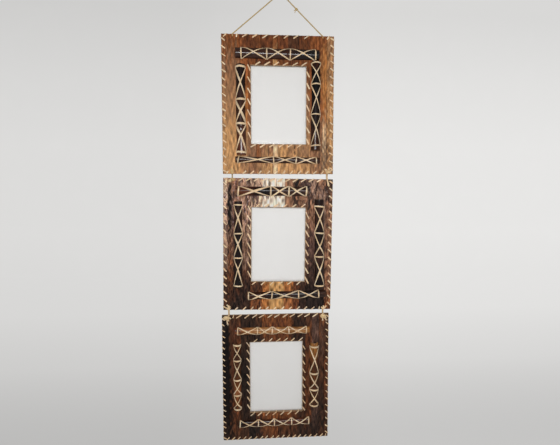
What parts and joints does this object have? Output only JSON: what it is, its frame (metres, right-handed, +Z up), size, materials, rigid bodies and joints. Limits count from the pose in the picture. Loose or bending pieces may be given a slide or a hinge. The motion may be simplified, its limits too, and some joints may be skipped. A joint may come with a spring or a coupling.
{
  "type": "hanging picture frame",
  "caption": "Picture frame of bark-clad panels with lashed split-bamboo rods and raffia lacing, hung one under the other on ties and a twine loop.",
  "frame": {"origin": "crown of the twine loop, where it hangs on its nail", "axes": "+X to the right seen from the front, +Y into the wall, +Z up"},
  "size_m": [0.2589, 0.0205, 1.0274],
  "materials": {
    "board": "raw pressed board",
    "top_bark": "dried bark, satin",
    "middle_bark": "dried bark, satin",
    "bottom_bark": "dried bark, satin",
    "dark_bamboo": "polished",
    "golden_bamboo": "polished",
    "raffia": "dry fibre",
    "twine": "twisted fibre",
    "pane": "clear",
    "card": "plain card"
  },
  "bodies": {
    "hanger": {"hanging_twine": "twine", "twine_knot": "twine"},
    "top_panel": {"top_left_stile": "board", "top_right_stile": "board", "top_head_rail": "board", "top_sill_rail": "board", "top_bark_strips": "top_bark", "top_left_rod": "dark_bamboo", "top_right_rod": "dark_bamboo", "top_head_rod": "dark_bamboo", "top_sill_rod": "dark_bamboo", "top_rod_lashings": "raffia", "top_edge_lacing": "raffia", "top_window_lacing": "raffia", "top_window_pane": "pane", "top_pocket_spacers": "board", "top_back_board": "board", "twine_feet": "twine", "top_tie_ends": "raffia"},
    "top_card": {"top_picture_card": "card"},
    "middle_panel": {"middle_left_stile": "board", "middle_right_stile": "board", "middle_head_rail": "board", "middle_sill_rail": "board", "middle_bark_strips": "middle_bark", "middle_left_rod": "dark_bamboo", "middle_right_rod": "dark_bamboo", "middle_head_rod": "dark_bamboo", "middle_sill_rod": "dark_bamboo", "middle_rod_lashings": "raffia", "middle_edge_lacing": "raffia", "middle_window_lacing": "raffia", "middle_window_pane": "pane", "middle_pocket_spacers": "board", "middle_back_board": "board", "middle_head_tie_ends": "raffia", "middle_sill_tie_ends": "raffia"},
    "middle_card": {"middle_picture_card": "card"},
    "bottom_panel": {"bottom_left_stile": "board", "bottom_right_stile": "board", "bottom_head_rail": "board", "bottom_sill_rail": "board", "bottom_bark_strips": "bottom_bark", "bottom_left_rod": "golden_bamboo", "bottom_right_rod": "golden_bamboo", "bottom_head_rod": "golden_bamboo", "bottom_sill_rod": "golden_bamboo", "bottom_rod_lashings": "raffia", "bottom_edge_lacing": "raffia", "bottom_window_lacing": "raffia", "bottom_window_pane": "pane", "bottom_pocket_spacers": "board", "bottom_back_board": "board", "bottom_tie_ends": "raffia"},
    "bottom_card": {"bottom_picture_card": "card"},
    "upper_ties": {"upper_left_tie": "raffia", "upper_right_tie": "raffia"},
    "lower_ties": {"lower_left_tie": "raffia", "lower_right_tie": "raffia"}
  },
  "joints": [
    {"name": "top_panel_swing", "type": "hinge", "parent": "hanger", "child": "top_panel", "pos_m": [-0.006, 0, -0.08965], "axis": [-1, 0, 0], "range_deg": [-75, 75]},
    {"name": "upper_ties_fold", "type": "hinge", "parent": "top_panel", "child": "upper_ties", "pos_m": [-0.006, 0, -0.39835], "axis": [1, 0, 0], "range_deg": [-35, 75]},
    {"name": "middle_panel_fold", "type": "hinge", "parent": "upper_ties", "child": "middle_panel", "pos_m": [-0.00561, 0, -0.40416], "axis": [0.9999, 0, -0.0122], "range_deg": [-35, 75]},
    {"name": "lower_ties_fold", "type": "hinge", "parent": "middle_panel", "child": "lower_ties", "pos_m": [-0.00939, 0, -0.71284], "axis": [-0.9999, 0, 0.0122], "range_deg": [-75, 35]},
    {"name": "bottom_panel_fold", "type": "hinge", "parent": "lower_ties", "child": "bottom_panel", "pos_m": [-0.013, 0, -0.71965], "axis": [-1, 0, 0], "range_deg": [-75, 35]},
    {"name": "top_card_slide", "type": "slide", "parent": "top_panel", "child": "top_card", "axis": [1, 0, 0], "range_m": [0, 0.19]},
    {"name": "middle_card_slide", "type": "slide", "parent": "middle_panel", "child": "middle_card", "axis": [0.9999, 0, -0.0122], "range_m": [0, 0.19]},
    {"name": "bottom_card_slide", "type": "slide", "parent": "bottom_panel", "child": "bottom_card", "axis": [1, 0, 0], "range_m": [0, 0.19]}
  ]
}
